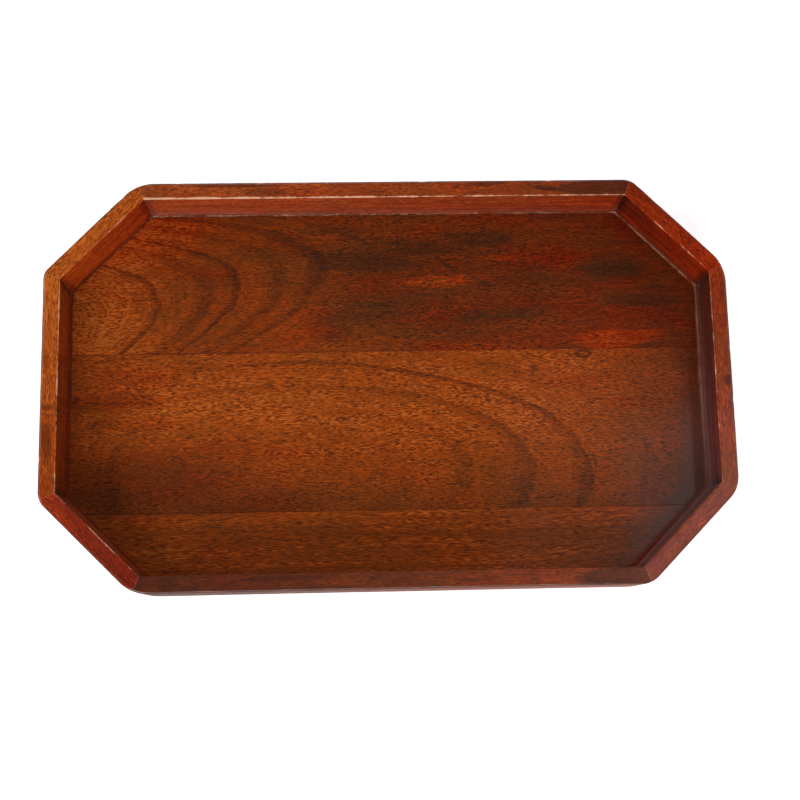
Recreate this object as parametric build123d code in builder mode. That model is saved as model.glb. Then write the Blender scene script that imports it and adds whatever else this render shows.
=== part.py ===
"""An eight-sided wooden serving tray, in millimetres.

The origin is on the table, under the middle of the tray. X runs along the tray, Y across it from front to
back, and Z up. Eight rails are mitred into a rim, and a hidden spline ties each mitre. The floor is three
boards, tongued and grooved edge to edge, whose rebated edge sits in a groove round the inside of the rim.
"""

import os
from math import sqrt

from build123d import *

# Overall sizes
tray_length = 400.0  # over the two end rails
tray_width = 240.0  # over the front and back rails
rim_height = 40.0
corner_cut = 53.5  # what a corner rail takes off the length, and off the width

# Rails
rail_thickness = 10.0
corner_radii = (18.0, 24.0, 12.0, 24.0, 8.0, 12.0, 23.0, 15.0)  # each corner, sanded round by hand
outer_edge_radius = 1.5  # the outer arrises, top and bottom
inner_edge_radius = 0.6  # the inner arrises, top and bottom, left nearly sharp

# Floor
floor_thickness = 8.0
floor_lift = 1.0  # from the table to the floor's underside, so that the tray stands on its rim
middle_board_width = 96.0
front_board_width = 37.5  # seen, from the front rail to its joint; the back board takes the rest
edge_tongue_thickness = 4.0  # half way up the floor's edge, all round
groove_depth = 4.0  # of the groove round the inside of the rim
groove_end_gap = 0.5  # room for the floor to swell into the groove
groove_top_gap = 0.1  # above the edge tongue, which lies on the bottom of the groove
shoulder_gap = 0.2  # between the floor's shoulders and the rails

# Tongue and groove joints between the boards
board_tongue_thickness = 2.5
board_tongue_length = 3.0
board_groove_end_gap = 0.3

# Splines in the mitres
spline_thickness = 3.0
spline_width = 6.0  # half of it in each rail
spline_cover = 6.0  # wood left over a spline, below the top of the rim
spline_groove_clearance = 5.0  # from the floor's groove up to a spline
spline_end_gap = 0.4  # above a spline, for glue

# Sizes that follow
floor_middle_z = floor_lift + floor_thickness / 2
groove_bottom = floor_middle_z - edge_tongue_thickness / 2
groove_height = edge_tongue_thickness + groove_top_gap
spline_bottom = groove_bottom + groove_height + spline_groove_clearance
spline_top = rim_height - spline_cover
front_joint_y = -tray_width / 2 + rail_thickness + front_board_width
back_joint_y = front_joint_y + middle_board_width
corner_turn = 45.0  # degrees from one rail to the next

# Anticlockwise from above. Each corner radius and spline lies where the rail of the same place begins.
RAILS = (
    "right_end_rail",
    "back_right_corner_rail",
    "back_rail",
    "back_left_corner_rail",
    "left_end_rail",
    "front_left_corner_rail",
    "front_rail",
    "front_right_corner_rail",
)
SPLINES = (
    "spline_right_front",
    "spline_right_back",
    "spline_back_right",
    "spline_back_left",
    "spline_left_back",
    "spline_left_front",
    "spline_front_left",
    "spline_front_right",
)


def octagon(inset):
    """The eight corners in plan, that far inside the rim's outer faces, one where each rail begins."""
    x = tray_length / 2 - inset
    y = tray_width / 2 - inset
    cut = corner_cut - inset * (2 - sqrt(2))
    right_and_back = [(x, cut - y), (x, y - cut), (x - cut, y), (cut - x, y)]
    return right_and_back + [(-px, -py) for px, py in right_and_back]


def save(piece, name):
    """Names a finished piece and writes it as parts/name.step."""
    piece.part.label = name
    export_step(piece.part, f"parts/{name}.step")


os.makedirs("parts", exist_ok=True)

# The rim as one ring: rounded outside, nearly sharp inside, with the floor's groove run round it.
with BuildPart() as rim:
    with BuildSketch():
        Polygon(*octagon(0), align=None)
        for corner, radius in zip(octagon(0), corner_radii):
            fillet(vertices().sort_by_distance(corner)[0], radius)
    extrude(amount=rim_height)
    fillet(edges().group_by(Axis.Z)[0] + edges().group_by(Axis.Z)[-1], outer_edge_radius)
    with BuildSketch():
        Polygon(*octagon(rail_thickness), align=None)
    extrude(amount=rim_height, mode=Mode.SUBTRACT)
    by_height = faces().sort_by(Axis.Z)
    fillet(by_height[0].inner_wires().edges() + by_height[-1].inner_wires().edges(), inner_edge_radius)
    with BuildSketch(Plane.XY.offset(groove_bottom)):
        Polygon(*octagon(rail_thickness - groove_depth), align=None)
    extrude(amount=groove_height, mode=Mode.SUBTRACT)


def spline_section(corner, height):
    """A spline's cross-section on the mitre at that corner, as a sketch that high up."""
    x, y = octagon(rail_thickness / 2)[corner]
    with BuildSketch(Plane.XY.offset(height)) as section:
        with Locations((x, y)):
            Rectangle(spline_thickness, spline_width, rotation=corner_turn * (corner - 0.5))
    return section.sketch


# The rails: the ring sawn apart along the mitres, and slotted at both ends for the splines.
for corner, name in enumerate(RAILS):
    next_corner = (corner + 1) % len(RAILS)
    outside = octagon(-rail_thickness)
    inside = octagon(rail_thickness)
    with BuildPart() as rail:
        add(rim.part)
        with BuildSketch():
            Polygon(outside[corner], outside[next_corner], inside[next_corner], inside[corner], align=None)
        extrude(amount=rim_height, mode=Mode.INTERSECT)
        for end in (corner, next_corner):
            add(spline_section(end, spline_bottom))
            extrude(amount=spline_top + spline_end_gap - spline_bottom, mode=Mode.SUBTRACT)
    save(rail, name)

for corner, name in enumerate(SPLINES):
    with BuildPart() as spline:
        add(spline_section(corner, spline_bottom))
        extrude(amount=spline_top - spline_bottom)
    save(spline, name)

# The floor as one panel, with a tongue all round between a shoulder above and a shoulder below.
with BuildPart() as floor:
    with BuildSketch(Plane.XY.offset(floor_lift)):
        Polygon(*octagon(rail_thickness + shoulder_gap), align=None)
    extrude(amount=floor_thickness)
    with BuildSketch(Plane.XY.offset(groove_bottom)):
        Polygon(*octagon(rail_thickness - groove_depth + groove_end_gap), align=None)
    extrude(amount=edge_tongue_thickness)


def floor_board(name, front_y, back_y, tongued):
    """The floor's strip between two Y values, with a tongue or a groove at each joint between the boards."""
    reach = board_tongue_length if tongued else board_tongue_length + board_groove_end_gap
    with BuildPart() as board:
        add(floor.part)
        with BuildSketch(Plane.YZ):
            with Locations(((front_y + back_y) / 2, floor_middle_z)):
                Rectangle(back_y - front_y, floor_thickness)
            with Locations(
                (front_joint_y - reach / 2, floor_middle_z),
                (back_joint_y + reach / 2, floor_middle_z),
            ):
                Rectangle(reach, board_tongue_thickness, mode=Mode.ADD if tongued else Mode.SUBTRACT)
        extrude(amount=tray_length / 2, both=True, mode=Mode.INTERSECT)
    save(board, name)


floor_board("floor_board_front", -tray_width / 2, front_joint_y, tongued=False)
floor_board("floor_board_middle", front_joint_y, back_joint_y, tongued=True)
floor_board("floor_board_back", back_joint_y, tray_width / 2, tongued=False)
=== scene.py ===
# %% [markdown]
# # A lacquered serving tray with eight sides
#
# The tray is a low rim of eight mitred rails round a floor of three boards, all in the same reddish brown
# hardwood under a glossy lacquer. Its shape is simple, so the work is in the wood: the figure of each board,
# the tone of each rail, the worn arris inside the rim and the lacquer that has gathered at the foot of the
# walls. This lesson loads the finished joinery, works its surfaces, and then builds the wood out of nodes.

# %% Load the joinery
import math
import random

import bmesh
import bpy
from mathutils import Matrix, Vector, noise


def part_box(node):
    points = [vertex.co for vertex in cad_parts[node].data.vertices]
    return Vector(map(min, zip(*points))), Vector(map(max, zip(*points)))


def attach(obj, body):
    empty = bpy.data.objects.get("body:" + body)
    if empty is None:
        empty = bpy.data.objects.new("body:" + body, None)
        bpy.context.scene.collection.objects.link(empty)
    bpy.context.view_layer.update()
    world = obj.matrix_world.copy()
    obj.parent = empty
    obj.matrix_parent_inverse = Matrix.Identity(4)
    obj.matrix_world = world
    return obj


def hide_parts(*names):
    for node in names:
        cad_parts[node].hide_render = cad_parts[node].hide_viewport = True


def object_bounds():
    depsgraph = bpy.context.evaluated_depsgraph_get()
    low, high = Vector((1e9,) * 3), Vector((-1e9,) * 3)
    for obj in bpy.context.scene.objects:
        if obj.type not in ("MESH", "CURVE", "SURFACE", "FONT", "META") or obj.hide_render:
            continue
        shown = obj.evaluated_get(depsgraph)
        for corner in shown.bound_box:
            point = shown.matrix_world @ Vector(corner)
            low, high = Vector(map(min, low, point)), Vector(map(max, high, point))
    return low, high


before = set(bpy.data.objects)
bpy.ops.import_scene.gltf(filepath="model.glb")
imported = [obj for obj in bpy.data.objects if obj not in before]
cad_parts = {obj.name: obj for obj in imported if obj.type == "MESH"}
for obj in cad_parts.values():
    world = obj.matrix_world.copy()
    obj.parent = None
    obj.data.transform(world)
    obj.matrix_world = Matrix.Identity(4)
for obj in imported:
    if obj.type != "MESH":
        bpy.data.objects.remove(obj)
cad_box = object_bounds()
print("pieces of joinery:", len(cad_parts))

# %% [markdown]
# ## Sizes
#
# Everything placed below is placed from the joinery, so nothing has to be typed twice. The corner rails are
# at 45 degrees, so the largest x + y in the rim says how far out they stand. Shader numbers are easier to
# read in millimetres than in metres, so each length is kept in millimetres for the materials.

# %% Measure the joinery
MM = 1000.0
HALF_LENGTH = cad_box[1][0]
HALF_WIDTH = cad_box[1][1]
RIM_TOP = cad_box[1][2]
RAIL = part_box("left_end_rail")[1].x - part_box("left_end_rail")[0].x
FLOOR_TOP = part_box("floor_board_middle")[1].z
BACK_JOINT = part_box("floor_board_back")[0].y
FRONT_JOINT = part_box("floor_board_front")[1].y
CORNER_REACH = max(v.co.x + v.co.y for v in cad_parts["back_right_corner_rail"].data.vertices)

# Each rail's grain direction in degrees, and how far its outer face stands from the middle of the tray.
CORNER_OUT = CORNER_REACH / math.sqrt(2)
RAILS = {
    "right_end_rail": (90, HALF_LENGTH),
    "back_right_corner_rail": (135, CORNER_OUT),
    "back_rail": (180, HALF_WIDTH),
    "back_left_corner_rail": (225, CORNER_OUT),
    "left_end_rail": (270, HALF_LENGTH),
    "front_left_corner_rail": (315, CORNER_OUT),
    "front_rail": (0, HALF_WIDTH),
    "front_right_corner_rail": (45, CORNER_OUT),
}

CORNER_CUT = HALF_LENGTH + HALF_WIDTH - CORNER_REACH
LONG_SIDE = 2 * (HALF_LENGTH - CORNER_CUT)
END_SIDE = 2 * (HALF_WIDTH - CORNER_CUT)
CORNER_SIDE = CORNER_CUT * math.sqrt(2)
MITRE = math.radians(22.5)


def rail_line(name):
    """A rail's length outside, the middle of its outer face, the way its grain runs and the way it faces."""
    angle, out = RAILS[name]
    length = {0: LONG_SIDE, 90: END_SIDE}.get(angle % 180, CORNER_SIDE)
    turn = Matrix.Rotation(math.radians(angle), 3, "Z")
    along = turn @ Vector((1, 0, 0))
    facing = turn @ Vector((0, -1, 0))
    slide = 0.0
    if angle % 90:
        slide = math.copysign((HALF_LENGTH - HALF_WIDTH) * math.sqrt(0.5), along.x * along.y)
    return length, facing * out + along * slide, along, facing


print("outer sides", [round(rail_line(name)[0] * MM, 1) for name in list(RAILS)[:3]], "mm")

# %% [markdown]
# ## The camera
#
# The tray is seen from almost straight above its middle, from a little in front, so that the inside of the
# back wall shows and the inside of the front wall doesn't. The lens takes in about 34 degrees, which is
# narrow enough that the walls hardly lean.

# %% Camera
camera_data = bpy.data.cameras.new("camera")
camera_data.sensor_width = 36.0
camera_data.lens = 59.69
camera = bpy.data.objects.new("camera", camera_data)
camera.location = (-0.02222, -0.14618, 0.79086)
camera.rotation_euler = [math.radians(a) for a in (10.16, -1.918, -1.225)]
bpy.context.scene.collection.objects.link(camera)
bpy.context.scene.camera = camera
print("camera", round(camera.location.z, 2), "m above the table")

# %% [markdown]
# ## The studio
#
# A glossy floor seen from above mirrors whatever hangs over it. A white ceiling would lay a milky veil on
# the wood, so the studio has pale walls and a dark ceiling, and its lamps stand at the sides, low enough
# that only the arrises and the lacquer at the foot of the walls catch them. Two faint cards hang over the
# right end, where the floor mirrors them and looks a little hazy.


# %% Lamps
def lamp(name, place, size, watts):
    """A rectangular lamp aimed at the middle of the tray. Place and size are in metres."""
    data = bpy.data.lights.new(name, "AREA")
    data.shape = "RECTANGLE"
    data.size = size[0]
    data.size_y = size[1]
    data.energy = watts
    thing = bpy.data.objects.new(name, data)
    thing.location = place
    thing.rotation_euler = (-Vector(place)).to_track_quat("-Z", "Y").to_euler()
    bpy.context.scene.collection.objects.link(thing)


lamp("front_lamp", (-0.35, -1.5, 1.15), (1.6, 0.9), 34)
lamp("left_lamp", (-1.6, 0.15, 1.1), (1.2, 0.9), 15)
lamp("back_lamp", (0.1, 1.6, 1.2), (1.6, 0.8), 13)
lamp("right_lamp", (1.6, 0.3, 1.1), (1.2, 0.9), 8)
lamp("wide_card", (0.65, -0.04, 1.41), (0.7, 0.9), 0.31)
lamp("near_card", (0.68, 0.02, 1.41), (0.4, 0.5), 0.28)

bpy.context.scene.view_settings.view_transform = "Standard"
print("lamps:", len(bpy.data.lights))

# %% [markdown]
# ## Shader maths as Python
#
# A wood needs a few hundred nodes. Wired by hand they hide the idea, so a small class wraps a socket and
# lets it be added and multiplied like a number. Numbers go through Math nodes, vectors through Vector Math
# and colours through Mix, because a Math node would turn a colour grey.


# %% The socket class
def filled(value, *spare):
    """A plain number repeated to fill a vector or a colour. Anything else stays as it is."""
    whole = isinstance(value, Wire) or hasattr(value, "__len__")
    return value if whole else (value, value, value, *spare)


class Wire:
    """An output socket of one material, which can be used in sums."""

    def __init__(self, shader, socket):
        self.shader = shader
        self.socket = socket

    def _sum(self, operation, first, second):
        kinds = {w.socket.type for w in (first, second) if isinstance(w, Wire)}
        if "RGBA" in kinds:
            return self.shader.blend(first, second, 1.0, operation)
        if "VECTOR" in kinds:
            inputs = {0: filled(first), 1: filled(second)}
            return self.shader.add("ShaderNodeVectorMath", {"operation": operation}, inputs)
        return self.shader.add("ShaderNodeMath", {"operation": operation}, {0: first, 1: second})

    def __add__(self, other):
        return self._sum("ADD", self, other)

    __radd__ = __add__

    def __sub__(self, other):
        return self._sum("SUBTRACT", self, other)

    def __rsub__(self, other):
        return self._sum("SUBTRACT", other, self)

    def __mul__(self, other):
        return self._sum("MULTIPLY", self, other)

    __rmul__ = __mul__

    def __pow__(self, other):
        return self._sum("POWER", self, other)

    def __abs__(self):
        return self._sum("ABSOLUTE", self, 0.0)

    def least(self, other):
        return self._sum("MINIMUM", self, other)

    def most(self, other):
        return self._sum("MAXIMUM", self, other)


# %% [markdown]
# ## A material under construction
#
# A second class holds one material while it is built. It has one method that adds any node, and a few for
# what a wood needs again and again: noise stretched along the grain, soft steps and soft spots.

# %% The shader class
NOISE_LOW = 0.25  # nearly all noise lies between these two
NOISE_HIGH = 0.75
TALL = 1e5  # the height of a soft spot, so great that only its plan matters


class Shader:
    """One material, or the world, under construction. Each seed gives other noise."""

    def __init__(self, owner, seed=0.0):
        owner.use_nodes = True
        self.owner = owner
        self.seed = seed
        self.tree = owner.node_tree
        self.tree.nodes.clear()

    def add(self, kind, settings=None, inputs=None, output=0):
        """Adds a node: its settings first, then the values or wires of its sockets. Returns one output."""
        node = self.tree.nodes.new(kind)
        for key, value in (settings or {}).items():
            if key == "stops":
                self._stops(node.color_ramp, value)
            else:
                setattr(node, key, value)
        for key, value in (inputs or {}).items():
            if isinstance(value, Wire):
                self.tree.links.new(value.socket, node.inputs[key])
            else:
                node.inputs[key].default_value = value
        return None if output is None else Wire(self, node.outputs[output])

    def _stops(self, ramp, stops):
        while len(ramp.elements) < len(stops):
            ramp.elements.new(0.5)
        for element, (place, colour) in zip(ramp.elements, stops):
            element.position = place
            element.color = colour

    def blend(self, first, second, factor, operation="MIX"):
        """Mixes two colours. A number stands for a grey."""
        settings = {"data_type": "RGBA", "blend_type": operation}
        inputs = {0: factor, 6: filled(first, 1), 7: filled(second, 1)}
        return self.add("ShaderNodeMix", settings, inputs, output=2)

    def step(self, value, low, high):
        """A smooth step from 0 to 1 as value goes from low to high, or back where low is the larger."""
        inputs = {"Value": value, "From Min": low, "From Max": high}
        return self.add("ShaderNodeMapRange", {"interpolation_type": "SMOOTHSTEP"}, inputs)

    def noise(self, place, size, detail=2.0, roughness=0.5, output=0):
        """Noise from 0 to 1 whose lumps are about as long along each axis as size says, in millimetres."""
        stretched = place * tuple(1.0 / s for s in size) + (self.seed, self.seed * 0.37, -self.seed)
        inputs = {"Vector": stretched, "Scale": 1.0, "Detail": detail, "Roughness": roughness}
        return self.add("ShaderNodeTexNoise", {"noise_dimensions": "3D"}, inputs, output)

    def wave(self, place, size, detail=2.0, roughness=0.5):
        """The same noise spread to run from -1 to 1, so that what it is multiplied by is its reach."""
        lumps = self.noise(place, size, detail, roughness)
        inputs = {"Value": lumps, "From Min": NOISE_LOW, "From Max": NOISE_HIGH, "To Min": -1.0}
        return self.add("ShaderNodeMapRange", None, inputs)

    def drift(self, place, size, reach):
        """A push of up to about reach along each axis, which varies over lumps of that size."""
        colour = self.noise(place, size, output="Color")
        inputs = {0: colour, 1: (0.5, 0.5, 0.5)}
        return self.add("ShaderNodeVectorMath", {"operation": "SUBTRACT"}, inputs) * reach

    def show(self, surface, kind="ShaderNodeOutputMaterial"):
        """Ends the tree in its output node, and gives back what it belongs to."""
        self.add(kind, None, {"Surface": surface}, output=None)
        return self.owner

    def join(self, x, y, z=0.0):
        return self.add("ShaderNodeCombineXYZ", None, {0: x, 1: y, 2: z})

    def axis(self, vector, name):
        return self.add("ShaderNodeSeparateXYZ", None, {0: vector}, output="XYZ".index(name))

    def spot(self, place, centre, radii, tilt=0.0, soft=0.7):
        """A soft ellipse in plan: 1 inside, 0 outside. soft is the share of its radius that fades."""
        inputs = {
            "Vector": place,
            "Location": (*centre, 0),
            "Rotation": (0, 0, math.radians(tilt)),
            "Scale": (*radii, TALL),
        }
        inside = self.add("ShaderNodeMapping", {"vector_type": "TEXTURE"}, inputs)
        reach = self.add("ShaderNodeVectorMath", {"operation": "LENGTH"}, {0: inside}, output="Value")
        return self.step(reach, 1.0, 1.0 - soft)


def tint(red, green, blue):
    """A colour given as it looks on a screen, from 0 to 255, as the linear colour that a shader wants."""
    linear = [((c / 255 + 0.055) / 1.055) ** 2.4 if c > 10 else c / 255 / 12.92 for c in (red, green, blue)]
    return (*linear, 1.0)


# %% [markdown]
# ## Pale walls, dark ceiling
#
# The world is a ramp on how high a direction looks: pale up to about 17 degrees above the horizon, and dark
# from about 38. It lights the outside of the rim softly and leaves the lacquered floor clear.

# %% The world
PALE_WALL = (0.86, 0.87, 0.88, 1)
DARK_CEILING = (0.035, 0.033, 0.032, 1)
WALL_TOP = 0.3  # the sine of how high a direction looks
CEILING_EDGE = 0.62

world = bpy.data.worlds.new("studio")
bpy.context.scene.world = world
studio = Shader(world)
direction = studio.add("ShaderNodeTexCoord", output="Generated")
height = studio.axis(direction, "Z")
sky = studio.blend(PALE_WALL, DARK_CEILING, studio.step(height, WALL_TOP, CEILING_EDGE))
studio.show(studio.add("ShaderNodeBackground", None, {"Color": sky}), "ShaderNodeOutputWorld")
print("world nodes:", len(world.node_tree.nodes))

# %% [markdown]
# ## A white floor
#
# The lamps reach only the floor near the tray. A real studio bends its paper up into a wall. Here the floor
# is wide, and gives off a little light of its own, more where the lamps don't reach, so that it is white up
# to the horizon and the shadows on it stay faint.

# %% The floor
FLOOR_REACH = 60.0
NEAR_LIGHT = (0.47, 0.47, 0.47, 1)
FAR_LIGHT = (0.78, 0.78, 0.78, 1)
LAMPS_FADE = 0.9  # metres from the tray, where the lamps begin to fade and where they have faded
LAMPS_GONE = 2.6


def studio_floor():
    """A wide white sheet under the tray, shown in the render only."""
    floor_mesh = bpy.data.meshes.new("studio_floor")
    corners = [(-1, -1), (1, -1), (1, 1), (-1, 1)]
    floor_mesh.from_pydata([(x * FLOOR_REACH, y * FLOOR_REACH, 0) for x, y in corners], [], [(0, 1, 2, 3)])
    floor = bpy.data.objects.new("studio_floor", floor_mesh)
    bpy.context.scene.collection.objects.link(floor)
    paper = Shader(bpy.data.materials.new("white paper"))
    away = paper.add("ShaderNodeTexCoord", output="Object")
    away = paper.add("ShaderNodeVectorMath", {"operation": "LENGTH"}, {0: away}, output="Value")
    own_light = paper.blend(NEAR_LIGHT, FAR_LIGHT, paper.step(away, LAMPS_FADE, LAMPS_GONE))
    inputs = {
        "Base Color": (0.9, 0.9, 0.9, 1),
        "Roughness": 0.9,
        "Specular IOR Level": 0.1,
        "Emission Color": own_light,
        "Emission Strength": 1.0,
    }
    floor_mesh.materials.append(paper.show(paper.add("ShaderNodeBsdfPrincipled", None, inputs)))
    print("studio floor:", 2 * FLOOR_REACH, "m wide")


studio_floor()

# %% [markdown]
# ## The wood
#
# One recipe serves every piece. A tone from 0 to 1 is summed from cloudy variation, long streaks and the
# piece's own figure, then fine fibres and the short dark dashes of the pores are multiplied in. All of it is
# noise stretched along the grain. Two ramps turn the tone into colour, one brown and one red, and a second
# sum says how far to lean to the red one. The lacquer is a coat over it: the fine relief stays in the wood
# below, so the coat shines smoothly, and the wood itself hardly shines, because the lacquer has filled it.

# %% The recipe
BROWN = [
    (0.0, tint(38, 20, 11)),
    (0.2, tint(64, 32, 14)),
    (0.4, tint(92, 43, 15)),
    (0.6, tint(120, 54, 13)),
    (0.8, tint(146, 65, 15)),
    (1.0, tint(180, 98, 36)),
]
RED = [
    (0.0, tint(36, 10, 6)),
    (0.2, tint(62, 15, 6)),
    (0.4, tint(90, 20, 4)),
    (0.6, tint(120, 28, 3)),
    (0.8, tint(148, 42, 4)),
    (1.0, tint(176, 70, 16)),
]


LACQUER_IOR = 1.48
LACQUER_ROUGHNESS = 0.11
FILLED_SHINE = 0.03  # the specular level of wood that lacquer has filled
GRAIN_DEPTH = 0.0001  # metres


class Wood(Shader):
    """The shared recipe. place gives the position in millimetres, with X along the grain."""

    def __init__(self, name, place, seed, dash=(3.1, 0.42)):
        """dash is how long and how wide a pore is, in millimetres, as are all the other lumps."""
        super().__init__(bpy.data.materials.new(name), seed)
        self.place = place(self)
        swing = self.drift(self.place, (90, 30, 30), (18.0, 7.0, 7.0))
        waver = self.drift(self.place, (16, 5, 5), (3.0, 1.2, 1.2))
        self.warped = self.place + swing + waver
        self.dash = self.wave(self.warped, (dash[0], dash[1], dash[1]), detail=1.5, roughness=0.6)
        self.fibre = self.wave(self.warped, (18, 0.6, 0.6), detail=1)
        self.streak = self.wave(self.warped, (64, 2.8, 2.8), detail=3, roughness=0.6)
        self.cloud = self.wave(self.warped, (48, 16, 16), detail=2)
        self.open_pores(0.0)

    def open_pores(self, rows):
        """Says where the pores are. rows gathers them along something, such as the growth rings."""
        self.pore = self.step(self.dash + self.streak * 0.25 + rows, -0.15, 0.6)
        self.fleck = self.step(self.dash + rows, -0.1, -0.8)

    def plain(self, tone, streak=0.1, cloud=0.06):
        """The tone of plain wood of this recipe, without its fine marks."""
        return self.streak * streak + self.cloud * cloud + tone

    def porous(self, tone, pore=0.56):
        """That tone with its fibres, pores and the light flecks between them. Dark wood shows them less."""
        return tone * (self.fibre * 0.1 + self.fleck * 0.2 - self.pore * pore + 1.0)

    def stain(self, tone, red):
        """The colour of that tone, leaning to the red ramp as far as red says, up to 1."""
        red = self.step(red, -0.15, 1.15)
        brown = self.add("ShaderNodeValToRGB", {"stops": BROWN}, {0: tone})
        ruddy = self.add("ShaderNodeValToRGB", {"stops": RED}, {0: tone})
        return self.blend(brown, ruddy, red)

    def finish(self, colour, gloss=0.8, relief=0.3):
        """Lacquers the wood and gives the material."""
        height = self.fibre * 0.3 - self.pore
        bump = {"Strength": relief, "Distance": GRAIN_DEPTH, "Height": height}
        inputs = {
            "Base Color": colour,
            "Roughness": self.fibre * 0.06 + 0.5,
            "Specular IOR Level": FILLED_SHINE,
            "Normal": self.add("ShaderNodeBump", None, bump, "Normal"),
            "Coat Weight": gloss,
            "Coat Roughness": LACQUER_ROUGHNESS,
            "Coat IOR": LACQUER_IOR,
        }
        return self.show(self.add("ShaderNodeBsdfPrincipled", None, inputs))

    def drop(self, colour, gloss):
        """Lacquer on its own, clear where it shines. It is amber, so what it mirrors is warm."""
        bump = {"Strength": 0.4, "Distance": GRAIN_DEPTH * 2, "Height": self.dash}
        bare = {"Base Color": colour, "Roughness": 0.5, "Specular IOR Level": FILLED_SHINE}
        shining = {
            "Base Color": colour,
            "Roughness": 0.14,
            "Specular IOR Level": 0.9,
            "Specular Tint": tint(255, 214, 176),
            "Normal": self.add("ShaderNodeBump", None, bump, "Normal"),
        }
        pair = [self.add("ShaderNodeBsdfPrincipled", None, inputs) for inputs in (bare, shining)]
        return self.show(self.add("ShaderNodeMixShader", None, {0: gloss, 1: pair[0], 2: pair[1]}))


def tray_place(shader):
    """Position on the tray in millimetres: the boards' grain runs along X."""
    return shader.add("ShaderNodeTexCoord", output="Object") * MM


print("stops in the ramps:", len(BROWN), len(RED))


# %% [markdown]
# ## The figure of the boards
#
# Where a flat-sawn board cuts through the tops of the tree's growth cones, the rings show as arches nested
# in each other. So the figure hangs on one number, which is the same all along one ring and grows outwards.
# Noise stretched along the rings gives fine lines that follow the arches. A dark line is a band of the
# number, soft on the inside, where the summer's growth thickens, and sharp on the outside, where it
# stopped. All lengths in these cells are in millimetres.


# %% Arches and spots
class Rings:
    """Growth rings. ring is the distance of a ring's tip along X in millimetres, across is where on it."""

    def __init__(self, wood, ring, across):
        self.wood = wood
        ragged = wood.wave(wood.place, (5, 3, 3), detail=3, roughness=0.7)
        self.ring = ring + ragged * 1.6
        self.bands = wood.wave(wood.join(self.ring, across), (8, 70, 1), detail=3, roughness=0.6)
        self.lines = wood.wave(wood.join(ring, across), (1.5, 12, 1), detail=1)

    def dark(self, lines):
        """How far each point is darkened by arches. Each line is (tip, soft side, sharp side, depth)."""
        wood = self.wood
        broken = wood.wave(wood.place, (40, 24, 24)) * 0.35 + 0.7
        total = 0.0
        for tip, soft, sharp, depth in lines:
            inner = wood.step(self.ring, tip - soft, tip)
            outer = wood.step(self.ring, tip + sharp, tip)
            total = inner * inner * outer * depth + total
        return total * broken * (wood.dash * 0.3 + 0.9)


def arch_rings(wood, tip_y, slope, bend):
    """Arches that point along +X, as parabolas."""
    x, y = wood.axis(wood.warped, "X"), wood.axis(wood.warped, "Y")
    off = y - (x * slope + tip_y)
    return Rings(wood, x + off * off * bend, off)


def oval_rings(wood, centre, half_width):
    """Long ovals about a centre: half_width is how wide one is whose tip is 100 mm off."""
    x, y = wood.axis(wood.warped, "X") - centre[0], wood.axis(wood.warped, "Y") - centre[1]
    tall = y * (100.0 / half_width)
    return Rings(wood, (x * x + tall * tall) ** 0.5 + centre[0], x)


def spots(wood, places):
    """The greatest of some soft ellipses. Each is ((x, y), (radius x, radius y), tilt, amount)."""
    greatest = None
    for centre, radii, tilt, amount in places:
        spot = wood.spot(wood.warped, centre, radii, tilt) * amount
        greatest = spot if greatest is None else greatest.most(spot)
    return greatest


def joint_line(wood, fade):
    """A dark hair line along both glued joints. fade is how strong it is along X."""
    y = wood.axis(wood.place, "Y")
    near = abs(y - BACK_JOINT * MM).least(abs(y - FRONT_JOINT * MM))
    broken = wood.wave(wood.place, (30, 400, 400), detail=3) * 0.5 + 0.6
    return wood.step(near, 0.7, 0.15) * broken.most(0.0) * fade


def wall_distance(wood):
    """How far a point of the floor is from the nearest wall, in millimetres."""
    x, y = abs(wood.axis(wood.place, "X")), abs(wood.axis(wood.place, "Y"))
    ends = (HALF_LENGTH - RAIL) * MM - x
    sides = (HALF_WIDTH - RAIL) * MM - y
    corners = ((CORNER_OUT - RAIL) * MM * math.sqrt(2) - x - y) * math.sqrt(0.5)
    return ends.least(sides).least(corners)


# %% [markdown]
# ## A painted reflection in the lacquer
#
# The lacquered floor in the front right corner mirrors a dim, cool veil. It is painted here: the floor's
# colour leans to one cool tone towards the walls there.

# %% Painted reflection
PAINTED_REFLECTION_TINT = tint(80, 56, 51)


def add_painted_reflection(wood, colour):
    """A painted cool reflection on the floor where it meets the walls at the right end, mostly in front."""
    x, y = wood.axis(wood.place, "X"), wood.axis(wood.place, "Y")
    near = wood.step(wall_distance(wood) + wood.streak * 3.0, 24.0, 2.0)
    return wood.blend(colour, PAINTED_REFLECTION_TINT, near * wood.step(x, 110.0, 180.0) * wood.step(y, 20.0, -60.0) * 0.75)


# %% [markdown]
# ## The back board
#
# The back board has five arches at its left end, near-black heartwood streaks with red islands in the
# middle, and a deep red right end. Noise alone would put the streaks anywhere, and drawn shapes alone would
# look drawn. So soft ellipses say where the heartwood is, and fine noise along the grain tears their edges.


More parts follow.
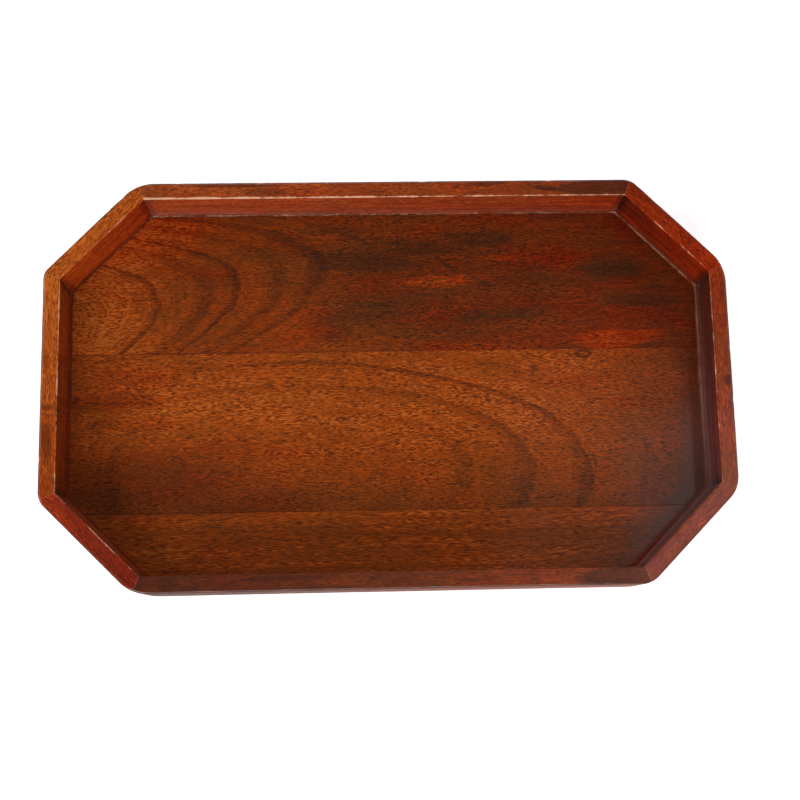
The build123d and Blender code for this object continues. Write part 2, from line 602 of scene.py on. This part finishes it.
# %% Back board
def back_board():
    """Arches at the left, then dark heartwood with red islands, and a deep red right end."""
    wood = Wood("back board wood", tray_place, seed=3.0)
    x = wood.axis(wood.warped, "X")
    rings = arch_rings(wood, 84, 0.22, 0.033)
    figure = rings.dark([
        (-135, 8, 1.6, 0.46),
        (-104, 18, 5, 0.28),
        (-88, 7, 2, 0.46),
        (-63, 14, 6, 0.24),
        (-41, 18, 6, 0.24),
    ])
    arched = wood.step(x, -20.0, -60.0)
    wood.open_pores(rings.lines * arched * 0.45)
    # The last four are one thin vein that wanders forwards to the right.
    heart = spots(wood, [
        ((-16, 80), (52, 12), -4, 1.0),
        ((20, 90), (48, 5), -8, 0.8),
        ((-34, 99), (34, 5), 0, 0.8),
        ((60, 94), (36, 8), 0, 0.8),
        ((-8, 50), (66, 13), 2, 0.62),
        ((66, 46), (56, 7), 3, 0.7),
        ((96, 68), (22, 9), -10, 0.46),
        ((138, 74), (34, 12), 4, 0.9),
        ((156, 52), (36, 8), -6, 0.8),
        ((40, 34), (70, 5), 0, 0.5),
        ((-24, 96), (28, 3), -25, 0.9),
        ((14, 86), (24, 3), -4, 0.9),
        ((37, 77), (13, 3), -45, 0.9),
        ((58, 67), (18, 3), -22, 0.9),
    ])
    streaks = wood.wave(wood.warped, (24, 1.4, 1.4), detail=4, roughness=0.7)
    heart = wood.step(heart + streaks * 0.8 + wood.dash * 0.15, 0.25, 1.05)
    island = spots(wood, [
        ((34, 67), (46, 6), 3, 0.9),
        ((68, 82), (26, 3), 2, 0.6),
        ((140, 29), (40, 9), 2, 1.0),
    ])
    island = wood.step(island + streaks * 0.35, 0.2, 0.9)
    bright = wood.spot(wood.warped, (-140, 96), (62, 24), 20)
    shade = spots(wood, [
        ((-100, 72), (22, 14), 0, 0.1),
        ((-62, 88), (24, 12), 0, 0.1),
        ((-34, 38), (20, 14), 0, 0.12),
    ])
    shade = shade + wood.spot(wood.warped, (35, 64), (120, 56)) * 0.17
    # Darker towards the right end, which is painted shade, and lighter towards the left end.
    ends = wood.step(x, 60.0, 185.0) * 0.2 - wood.step(x, -112.0, -180.0) * 0.3
    tone = wood.plain(0.62, streak=0.12) + rings.bands * arched * 0.07 + rings.lines * arched * 0.06
    tone = tone - figure - shade + island * 0.26 - ends + bright * 0.2
    # The last term is a painted shade on the floor along the foot of the walls.
    tone = tone - heart * (streaks * 0.06 + 0.24) - wood.step(wall_distance(wood), 9.0, 0.0) * 0.1
    tone = tone + streaks * (1 - arched) * 0.13 + 0.01
    tone = tone - joint_line(wood, wood.step(x, 60.0, -150.0) * 0.3 + 0.08)
    red = wood.step(x, -60.0, 150.0) * 0.36 + wood.cloud * 0.35 + 0.24
    red = red + island * 0.3 - heart * 0.5 + bright * 0.5
    pores = 0.72 - arched * 0.22 - wood.step(x, 80.0, 150.0) * 0.24
    return wood.finish(wood.stain(wood.porous(tone, pores), red))


# %% [markdown]
# ## The middle board
#
# The middle board is the lightest, with broad arches that point right. They belong to one set of long ovals
# whose left ends run off the board. The small knot is a soft ellipse with a smaller one taken out of it. The
# wood is darker at the left front corner, and a painted shade darkens it along the end walls and towards the
# right end.


# %% Middle board
KNOT = (119, 20.5)


def middle_board():
    """Broad arches that point right, the dark left front corner, and a small knot at the back joint."""
    wood = Wood("middle board wood", tray_place, seed=11.0)
    x = wood.axis(wood.warped, "X")
    rings = oval_rings(wood, (-60, -52), 38)
    figure = rings.dark([
        (120, 12, 2, 0.4),
        (86, 16, 4, 0.3),
        (50, 18, 5, 0.14),
        (12, 16, 6, 0.08),
        (160, 20, 3, 0.08),
    ])
    wood.open_pores(rings.lines * 0.3 + rings.bands * 0.15)
    figure = figure * (wood.step(x, -130.0, 10.0) * 0.6 + 0.4)
    dark = spots(wood, [
        ((-134, -53), (72, 28), 0, 0.54),
        ((-84, -68), (70, 15), 4, 0.4),
        ((-175, -6), (50, 7), 2, 0.6),
        ((188, 0), (16, 80), 0, 0.5),
    ])
    light = spots(wood, [((-80, -8), (110, 24), 0, 1.0), ((30, -14), (110, 34), 0, 0.5)])
    ruddy = spots(wood, [
        ((-150, 8), (44, 12), 4, 0.8),
        ((-150, -18), (44, 6), -2, 1.0),
        ((-80, -36), (50, 9), -4, 0.7),
        ((118, 4), (46, 7), 2, 0.8),
        ((150, -12), (34, 6), 0, 0.9),
    ])
    ruddy = wood.step(ruddy + wood.streak * 0.7, 0.1, 1.1)
    tone = wood.plain(0.76) + rings.bands * 0.07 + rings.lines * 0.05
    # The last term darkens the right end: a painted shade.
    tone = tone - figure - dark * 0.3 + light * 0.07 - wood.step(x, 110.0, 190.0) * 0.2
    tone = tone - wood.step(wood.axis(wood.warped, "Y"), -15.0, -75.0) * 0.18
    knot = wood.spot(wood.place, KNOT, (6.5, 3.6), 8, 0.5) - wood.spot(wood.place, KNOT, (4.2, 1.8), 8, 0.6)
    # A painted shade on the floor along the end walls, faded out towards the front.
    painted_wall_shade = wood.step(wall_distance(wood), 11.0, 3.0) * (wood.streak * 0.12 + 0.08)
    painted_wall_shade = painted_wall_shade * wood.step(wood.axis(wood.place, "Y"), -56.0, -24.0)
    tone = tone - painted_wall_shade - knot * 0.4 - joint_line(wood, wood.step(x, 60.0, -150.0) * 0.25 + 0.06)
    red = wood.cloud * 0.2 + wood.step(x, 60.0, 170.0) * 0.1 + dark * 0.35 + ruddy * 0.35 + 0.1
    return wood.finish(add_painted_reflection(wood, wood.stain(wood.porous(tone, pore=0.62), red)))


# %% [markdown]
# ## The front board
#
# The front board is straight-grained and olive brown, so it needs no rings. Very long streaks take their
# place, and its pores are longer, as they are where a board is sawn square to the rings.


# %% Front board
def front_board():
    """Straight grain, with longer pores than the others and no arches."""
    wood = Wood("front board wood", tray_place, seed=23.0, dash=(4.6, 0.44))
    x = wood.axis(wood.warped, "X")
    long_streak = wood.wave(wood.warped, (120, 3.4, 3.4), detail=3, roughness=0.6)
    tone = wood.plain(0.69, streak=0.12) + long_streak * 0.12
    # Both terms taken off here are painted shade: towards the right end, and along the foot of the walls.
    tone = tone - wood.step(x, 110.0, 180.0) * 0.1 - wood.step(wall_distance(wood), 8.0, 0.0) * 0.05
    tone = tone - joint_line(wood, wood.step(x, -60.0, 150.0) * 0.1 + 0.04)
    tone = tone + wood.spot(wood.warped, (-134, -93), (30, 12)) * 0.12
    return wood.finish(add_painted_reflection(wood, wood.stain(wood.porous(tone), wood.cloud * 0.35 + 0.05)))


# %% [markdown]
# ## The eight rails
#
# A rail has its own tone, and its grain runs along it, so its material turns the tray's position until X
# lies along the rail. The top has been sanded through to lighter wood along its inner arris here and there,
# and that pale line also stands in for a painted highlight. Its outer arris is dull, with a painted dark
# shade, and a hair line shows at each mitre. The inside walls have a tone of their own, partly painted light
# and shade, a painted cool reflection that is strongest at their foot, and a painted shade in the corners and
# along the foot.

# %% Rails
# Pale worn wood, which also serves as a painted highlight on the inner arris, and for pale glue and mitre
# lines.
WORN_AND_HIGHLIGHT = tint(214, 165, 132)
# A painted dark shade for the dull outer arris.
DULL_AND_SHADED = tint(74, 50, 42)
# A painted cool reflection laid over the rails, most on the inside walls at their foot.
PAINTED_WALL_REFLECTION = tint(101, 85, 89)

# Each pair goes from the rail's first end to its last, anticlockwise: the tone and redness of the top, the
# wear and painted highlight of the inner arris, then the tone (partly painted light and shade), redness and
# painted cool reflection of the inside wall.
RAIL_LOOKS = {
    "right_end_rail": ((0.66, 0.68), (0.4, 0.7), (0.4, 0.45), (0.46, 0.2), (0.9, 0.9), (0.36, 0.05)),
    "back_right_corner_rail": ((0.69, 0.65), (1.0, 1.0), (0.5, 0.4), (0.6, 0.34), (1.15, 1.15), (0.0, 0.0)),
    "back_rail": ((0.66, 0.75), (0.5, 0.25), (0.6, 1.0), (0.76, 0.92), (0.9, 0.7), (0.05, 0.15)),
    "back_left_corner_rail": ((0.84, 0.9), (0.2, 0.1), (0.4, 0.4), (0.74, 0.98), (1.1, 0.9), (0.0, 0.0)),
    "left_end_rail": ((0.92, 0.7), (-0.1, 0.4), (0.5, 0.5), (0.66, 0.58), (0.6, 0.6), (0.0, 0.0)),
    "front_left_corner_rail": ((0.72, 0.5), (0.9, 0.9), (0.5, 0.4), (0.7, 0.66), (0.45, 0.5), (0.12, 0.08)),
    "front_rail": ((0.25, 0.66), (0.3, 0.3), (0.05, 0.15), (0.45, 0.45), (0.6, 0.6), (0.08, 0.28)),
    "front_right_corner_rail": ((0.66, 0.66), (0.6, 0.5), (0.2, 0.2), (0.44, 0.44), (0.4, 0.4), (0.62, 0.62)),
}
# Dark marks on the rails' tops: where, as (along from the middle, in from outside), their two radii, how
# they are tilted and how dark they are.
RAIL_MARKS = {
    "right_end_rail": [
        ((1, 3.5), (4.5, 4), 0, 1.2),
        ((-10, 1.5), (8, 1.6), 0, 0.9),
        ((52, 4), (8, 2), 4, 0.5),
    ],
    "back_rail": [
        ((-134, 5), (50, 9), 0, 1.0),
        ((-96, 5), (18, 2.5), -6, 1.0),
        ((-60, 2), (22, 2), 2, 0.7),
        ((90, 2), (40, 1.6), 0, 0.8),
        ((72, 6), (26, 4), 0, 0.5),
    ],
    "left_end_rail": [((14, 5), (3, 5), 0, 0.7), ((34, 5), (18, 6), 5, 0.7)],
    "front_rail": [((-60, 6), (50, 3), 1, 0.5), ((46, 4), (12, 2), 0, 0.5), ((134, 5), (40, 9), 0, 1.2)],
}


def rail_wood(name, look, seed):
    """One rail's material. u runs along it, depth in from its outer face, and below down from its top."""
    length, middle, along, facing = rail_line(name)
    turn = (0, 0, math.radians(-RAILS[name][0]))
    start = (-middle.dot(along) * MM, middle.dot(facing) * MM, 0)

    def place(shader):
        inputs = {"Vector": tray_place(shader), "Rotation": turn, "Location": start}
        return shader.add("ShaderNodeMapping", {"vector_type": "POINT"}, inputs)

    wood = Wood(f"{name} wood", place, seed)
    u, depth, z = (wood.axis(wood.place, a) for a in "XYZ")
    below = RIM_TOP * MM - z
    inside = wood.step(depth, RAIL * MM * 0.5, RAIL * MM * 0.8) * wood.step(below, 0.3, 1.0)
    way = u * (1 / (length * MM)) + 0.5
    blended = (way * (last - first) + first for first, last in look)
    top_tone, top_red, wear_and_highlight, wall_tone_and_light, wall_red, painted_wall_veil = blended
    mottle = wood.wave(wood.place, (14, 5, 5), detail=3, roughness=0.65)
    tone = wood.plain(top_tone) + mottle * 0.12
    if name in RAIL_MARKS:
        marks = wood.step(spots(wood, RAIL_MARKS[name]) + mottle * 0.3, 0.2, 0.8)
        tone = tone - marks * wood.step(below, 5.0, 1.0) * (1 - inside) * 0.3
    runs = wood.wave(wood.place, (60, 30, 3.4), detail=3, roughness=0.6)
    from_mitre = (length * MM / 2 - abs(u)) * math.cos(MITRE) - depth * math.sin(MITRE)
    above_floor = z - FLOOR_TOP * MM
    # A painted shade: the inside walls are darker by the mitres, in the corners, and at their foot.
    pooled_and_painted_light = wood.step(from_mitre, 5.0, 0.5) * 0.3 + wood.step(above_floor, 5.0, 0.0) * 0.1
    # The inside wall's own tone, which is partly painted light and shade for each wall.
    tone = tone + inside * (wall_tone_and_light - top_tone + runs * 0.26 - pooled_and_painted_light)
    red = wood.cloud * 0.3 + inside * (wall_red - top_red + runs * 0.5) + top_red
    colour = wood.stain(wood.porous(tone, pore=0.44), red)
    rub = wood.wave(wood.place, (18, 60, 60), detail=4, roughness=0.75)
    from_arris = (RAIL * MM - depth).most(below)
    # Worn pale wood along the inner arris, which also serves as a painted highlight there.
    worn_and_highlight = wood.step(wear_and_highlight * 1.6 + rub * 0.9 - from_arris, 0.3, 1.2)
    colour = wood.blend(colour, WORN_AND_HIGHLIGHT, worn_and_highlight * 0.8)
    # A painted dark shade on the outer arris; the same mask also dulls its gloss below.
    dull_and_shaded = wood.step(depth.most(below) - rub * 0.5, 1.5, 0.6)
    colour = wood.blend(colour, DULL_AND_SHADED, dull_and_shaded * 0.7)
    mitre_line = wood.step(from_mitre, 0.3, 0.1) * (rub * 0.08 + 0.09) * (1 - inside)
    colour = wood.blend(colour, WORN_AND_HIGHLIGHT, mitre_line)
    # A painted cool reflection on the inside walls, strongest at their foot, and fainter everywhere else.
    at_foot = wood.step(above_floor, 16.0, 2.0)
    colour = wood.blend(colour, PAINTED_WALL_REFLECTION, painted_wall_veil * (inside * (at_foot + runs * 0.3 + 0.3) + 0.3))
    outside = wood.step(depth, RAIL * MM * 0.6, RAIL * MM * 0.4) * wood.step(below, 0.5, 1.5)
    rubbed = wood.step(from_arris, 1.4, 0.4)
    return wood.finish(colour, gloss=0.8 - dull_and_shaded.most(outside * 1.2).most(rubbed) * 0.65)


# %% [markdown]
# ## Working the joinery
#
# The joinery is exact, and nothing made by hand is. A sculptor would press dents into it with a brush. Here
# a copy of each piece is cut into a fine grid, and one function of place says how far each point moves, so
# that two pieces that meet move together and no joint opens. It has long shallow waves, as sanding leaves,
# and small dents along the arrises, as use leaves. Everything moves inwards, so the tray doesn't grow.

# %% Waves
WAVE = 0.00018  # metres, the most that a point moves each way
WAVE_FOOT = 0.004  # up to this height the downward move fades, so that the foot stays on the table
SLOW_WAVES = 14.0  # to the metre
QUICK_WAVES = 55.0
ELSEWHERE = Vector((7.0, 3.0, 5.0))


def waves(point):
    """How a point of the tray moves as its surface is sanded by hand: towards the middle, and down."""
    slow = noise.noise(point * SLOW_WAVES)
    quick = noise.noise(point * QUICK_WAVES + ELSEWHERE)
    pull = WAVE * (0.5 + 0.32 * slow + 0.18 * quick)
    lift = min(1.0, point.z / WAVE_FOOT)
    return Vector((-pull * point.x / HALF_LENGTH, -pull * point.y / HALF_WIDTH, -pull * lift))


# %% [markdown]
# ## Dents
#
# A tray is knocked on its edges, never in the middle of a face. So the dents are scattered along the arrises
# of the rim, more of them inside than outside. They are drawn at random from a fixed seed, which gives the
# same tray each time.

# %% Dents
DENT_DEPTH = (0.00012, 0.0004)
DENT_REACH = (0.0012, 0.0032)
INNER_SHARE = 0.6


def make_dents(count=64, seed=5):
    """Small dents along the inner and outer arrises of the rim: where, which way and how wide."""
    chance = random.Random(seed)
    dents = []
    names = list(RAILS)
    for name in chance.choices(names, weights=[rail_line(n)[0] for n in names], k=count):
        length, middle, along, facing = rail_line(name)
        inner = chance.random() < INNER_SHARE
        place = middle + along * chance.uniform(-0.46, 0.46) * length - facing * (RAIL if inner else 0)
        place.z = RIM_TOP
        push = (facing if inner else -facing) * 0.6 - Vector((0, 0, 1))
        dents.append((place, push * chance.uniform(*DENT_DEPTH), chance.uniform(*DENT_REACH)))
    return dents


dents = make_dents()
print("dents along the arrises:", len(dents))


# %% [markdown]
# ## Cuts and chamfers
#
# A flat face has points only at its corners, so nothing in its middle could move. Planes that cut right
# through a piece, evenly along each direction, give it points everywhere and keep it closed. The same cut,
# made once on each side of a glued joint, makes room for the fine V that a joint shows on top.

# %% Cuts and chamfers
JOINT_CHAMFER = 0.0002


def cut_at(shaped, way, reach):
    """Cuts a mesh by the plane square to a direction at that reach."""
    everything = [*shaped.verts, *shaped.edges, *shaped.faces]
    bmesh.ops.bisect_plane(shaped, geom=everything, plane_co=way * reach, plane_no=way)


def cut_across(shaped, way, gap):
    """Cuts a mesh all along a direction, so that it has points to move."""
    reach = [v.co.dot(way) for v in shaped.verts]
    low, high = min(reach), max(reach)
    for i in range(int((high - low) / gap)):
        cut_at(shaped, way, low + (i + 0.5) * gap)


def chamfer_joints(shaped):
    """A hair of a chamfer along the glued joints of the floor, which leaves a fine V on top."""
    for joint in (BACK_JOINT, FRONT_JOINT):
        for side in (-1, 1):
            cut_at(shaped, Vector((0, 1, 0)), joint + side * JOINT_CHAMFER)
        for vertex in shaped.verts:
            on_top = vertex.co.z > FLOOR_TOP - JOINT_CHAMFER / 2
            if on_top and abs(vertex.co.y - joint) < JOINT_CHAMFER / 2:
                vertex.co.z -= JOINT_CHAMFER


# %% [markdown]
# ## Worked copies
#
# The copy keeps the node's name with "worked" after it, takes the node's place, and rides on the same body.
# Faces that lie in one plane are joined before the cuts, so that the joinery's own long triangles don't show
# in the shading, and only edges that turn by more than 30 degrees stay sharp.

# %% Worked copies
SAME_POINT = 1e-6  # metres
FLAT = math.radians(0.5)
SHARP = math.radians(30)
UP = Vector((0, 0, 1))


def worked(node, material, cuts):
    """A copy of a node, cut by (direction, gap), waved and dented, which stands for the node."""
    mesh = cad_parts[node].data.copy()
    mesh.name = f"{node}_worked"
    shaped = bmesh.new()
    shaped.from_mesh(mesh)
    bmesh.ops.remove_doubles(shaped, verts=shaped.verts, dist=SAME_POINT)
    bmesh.ops.dissolve_limit(shaped, angle_limit=FLAT, verts=shaped.verts, edges=shaped.edges)
    for way, gap in cuts:
        cut_across(shaped, way, gap)
    if node.startswith("floor"):
        chamfer_joints(shaped)
    near = [d for d in dents if any((v.co - d[0]).length < d[2] for v in shaped.verts)]
    for vertex in shaped.verts:
        move = waves(vertex.co)
        for place, push, radius in near:
            gone = (vertex.co - place).length / radius
            if gone < 1.0:
                move += push * (1.0 - gone * gone) ** 2
        vertex.co += move
    shaped.normal_update()
    shaped.to_mesh(mesh)
    shaped.free()
    if "custom_normal" in mesh.attributes:
        mesh.attributes.remove(mesh.attributes["custom_normal"])
    mesh.materials.clear()
    mesh.materials.append(material)
    piece = bpy.data.objects.new(mesh.name, mesh)
    bpy.context.scene.collection.objects.link(piece)
    mesh.shade_smooth()
    mesh.set_sharp_from_angle(angle=SHARP)
    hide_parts(node)
    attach(piece, "root")
    return piece


# %% [markdown]
# ## Working the rails and the boards
#
# The cuts are close together along a rail, where the dents are, and wider apart across the flat boards, which
# only wave. Each rail has its own seed, so that no two have the same grain.

# %% Work the rails
CUTS_ALONG_RAIL = 0.002
CUTS_UP_RAIL = 0.008
CUTS_ACROSS_RAIL = 0.0033
FIRST_RAIL_SEED = 31.0
NEXT_RAIL_SEED = 7.3

for i, (name, look) in enumerate(RAIL_LOOKS.items()):
    length, middle, along, facing = rail_line(name)
    cuts = [(along, CUTS_ALONG_RAIL), (UP, CUTS_UP_RAIL), (facing, CUTS_ACROSS_RAIL)]
    rail = worked(name, rail_wood(name, look, FIRST_RAIL_SEED + NEXT_RAIL_SEED * i), cuts)
    print(name, len(rail.data.vertices), "points")

# %% [markdown]
# The boards are worked in the same way, each with a material of its own.

# %% Work the boards
CUTS_IN_BOARD = 0.006

for name, make in (("back", back_board), ("middle", middle_board), ("front", front_board)):
    cuts = [(Vector((1, 0, 0)), CUTS_IN_BOARD), (Vector((0, 1, 0)), CUTS_IN_BOARD)]
    board = worked(f"floor_board_{name}", make(), cuts)
    print(board.name, len(board.data.vertices), "points")

# %% [markdown]
# ## The splines
#
# A spline across each mitre is glued in and can't be seen, so it has bare, pale wood with a little glue on
# it, and keeps the shape that the joinery gives it.

# %% Splines
spline_wood = Wood("spline wood", tray_place, seed=90.0)
glue = spline_wood.step(spline_wood.wave(spline_wood.place, (6, 6, 6)), 0.2, 0.5)
bare = spline_wood.stain(spline_wood.porous(spline_wood.plain(1.05)), spline_wood.cloud * 0.1)
bare = spline_wood.finish(spline_wood.blend(bare, WORN_AND_HIGHLIGHT, glue * 0.5), gloss=0.0)
splines = [node for name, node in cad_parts.items() if name.startswith("spline")]
for spline in splines:
    spline.data.materials.clear()
    spline.data.materials.append(bare)
print("splines:", len(splines))

# %% [markdown]
# ## The lacquer at the foot of the walls
#
# Brushed lacquer runs down the walls and sets in the corner below as a narrow hollow bead. It rounds the
# eight inner corners a little, and its curve is the one place inside the tray that always finds a lamp to
# mirror. It is swept in code along the foot of the walls, because its width has to wander.

# %% The bead's path
BEAD_WIDTH = 0.0013
BEAD_CORNER = 0.009  # the radius of the bead's turn in each corner
BEAD_SINK = 0.0003  # into the floor and the wall


def bead_path(gap=0.0025):
    """Points round the foot of the walls, each with the way into the tray and how far it is to a corner."""
    path = []
    for name in RAILS:
        length, middle, along, facing = rail_line(name)
        half = length / 2 - RAIL * math.tan(MITRE)
        count = max(8, round(2 * half / gap))
        for i in range(count):
            u = -half + 2 * half * i / count
            to_corner = half - abs(u)
            lean = max(0.0, 1 - to_corner / BEAD_CORNER) * math.tan(MITRE)
            inwards = -facing + along * (lean if u < 0 else -lean)
            path.append((middle - facing * RAIL + along * u, inwards, to_corner))
    return path


# %% [markdown]
# ## Sweeping the bead
#
# At each point of the path stands one cross-section: a hollow quarter round between the floor and the wall,
# with its back sunk into both. Its width is the plain width, times noise in slow and quick lumps, plus what
# fills a corner. Faces join each section to the next, and the last to the first.

# %% The lacquer bead
WANDER_SLOW = (60.0, 0.3)  # lumps to the metre, and how far the width swings
WANDER_QUICK = (240.0, 0.25)
WIDER_RIGHT = 0.6
BEAD_SHARP = math.radians(50)


def lacquer_bead(material, steps=6):
    """Sweeps a hollow quarter round, in that many steps, along the path."""
    shaped = bmesh.new()
    rings = []
    for place, inwards, to_corner in bead_path():
        wander = 1 + WIDER_RIGHT * max(0.0, place.x / HALF_LENGTH) ** 3
        for lumps, swing in (WANDER_SLOW, WANDER_QUICK):
            wander += swing * noise.noise(place * lumps)
        corner = max(0.0, 1 - to_corner / (BEAD_CORNER * math.tan(MITRE))) ** 2
        width = BEAD_WIDTH * wander + corner * BEAD_CORNER * (1 / math.cos(MITRE) - 1)
        section = [(-BEAD_SINK, -BEAD_SINK)]
        section += [(-BEAD_SINK, width), (0.0, width)]
        for i in range(1, steps):
            turn = math.pi / 2 * (1 - i / steps)
            section.append((width * (1 - math.sin(turn)), width * (1 - math.cos(turn))))
        section += [(width, 0.0), (width, -BEAD_SINK)]
        place.z = FLOOR_TOP
        ring = [shaped.verts.new(place + inwards * across + UP * up) for across, up in section]
        rings.append(ring)
    for ring, after in zip(rings, rings[1:] + rings[:1]):
        for i, vertex in enumerate(ring):
            j = (i + 1) % len(ring)
            shaped.faces.new((vertex, after[i], after[j], ring[j]))
    bmesh.ops.recalc_face_normals(shaped, faces=shaped.faces)
    mesh = bpy.data.meshes.new("lacquer_bead")
    shaped.to_mesh(mesh)
    shaped.free()
    mesh.materials.append(material)
    bead = bpy.data.objects.new("lacquer_bead", mesh)
    bpy.context.scene.collection.objects.link(bead)
    mesh.shade_smooth()
    mesh.set_sharp_from_angle(angle=BEAD_SHARP)
    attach(bead, "root")
    print("lacquer bead:", len(rings), "stations")


# %% [markdown]
# ## Pooled lacquer
#
# The bead is stained like the wood behind it, a little darker, with the floor's painted reflection at the
# right.
# It shines only in places, and most at the back, so its gloss is a mix of a bare and a shining surface.

# %% Pooled lacquer
pooled_and_painted_light = Wood("pooled lacquer", tray_place, seed=70.0)
along_tray = pooled_and_painted_light.axis(pooled_and_painted_light.place, "X")
across_tray = pooled_and_painted_light.axis(pooled_and_painted_light.place, "Y")
amber = pooled_and_painted_light.stain(pooled_and_painted_light.wave(pooled_and_painted_light.place, (20, 20, 20)) * 0.12 + 0.36, pooled_and_painted_light.cloud * 0.2 + 0.7)
# The same painted cool reflection as on the floor, at the right end.
painted_reflection_mask = pooled_and_painted_light.step(along_tray, 150.0, 190.0) * pooled_and_painted_light.step(across_tray, 50.0, -30.0) * 0.7
amber = pooled_and_painted_light.blend(amber, PAINTED_REFLECTION_TINT, painted_reflection_mask)
broken = pooled_and_painted_light.step(pooled_and_painted_light.wave(pooled_and_painted_light.place, (12, 12, 12), detail=4, roughness=0.7), -0.7, 0.4)
thick = pooled_and_painted_light.step(along_tray * 0.3 + across_tray, -20.0, 90.0) * 0.85 + 0.05
lacquer_bead(pooled_and_painted_light.drop(amber, broken * thick))
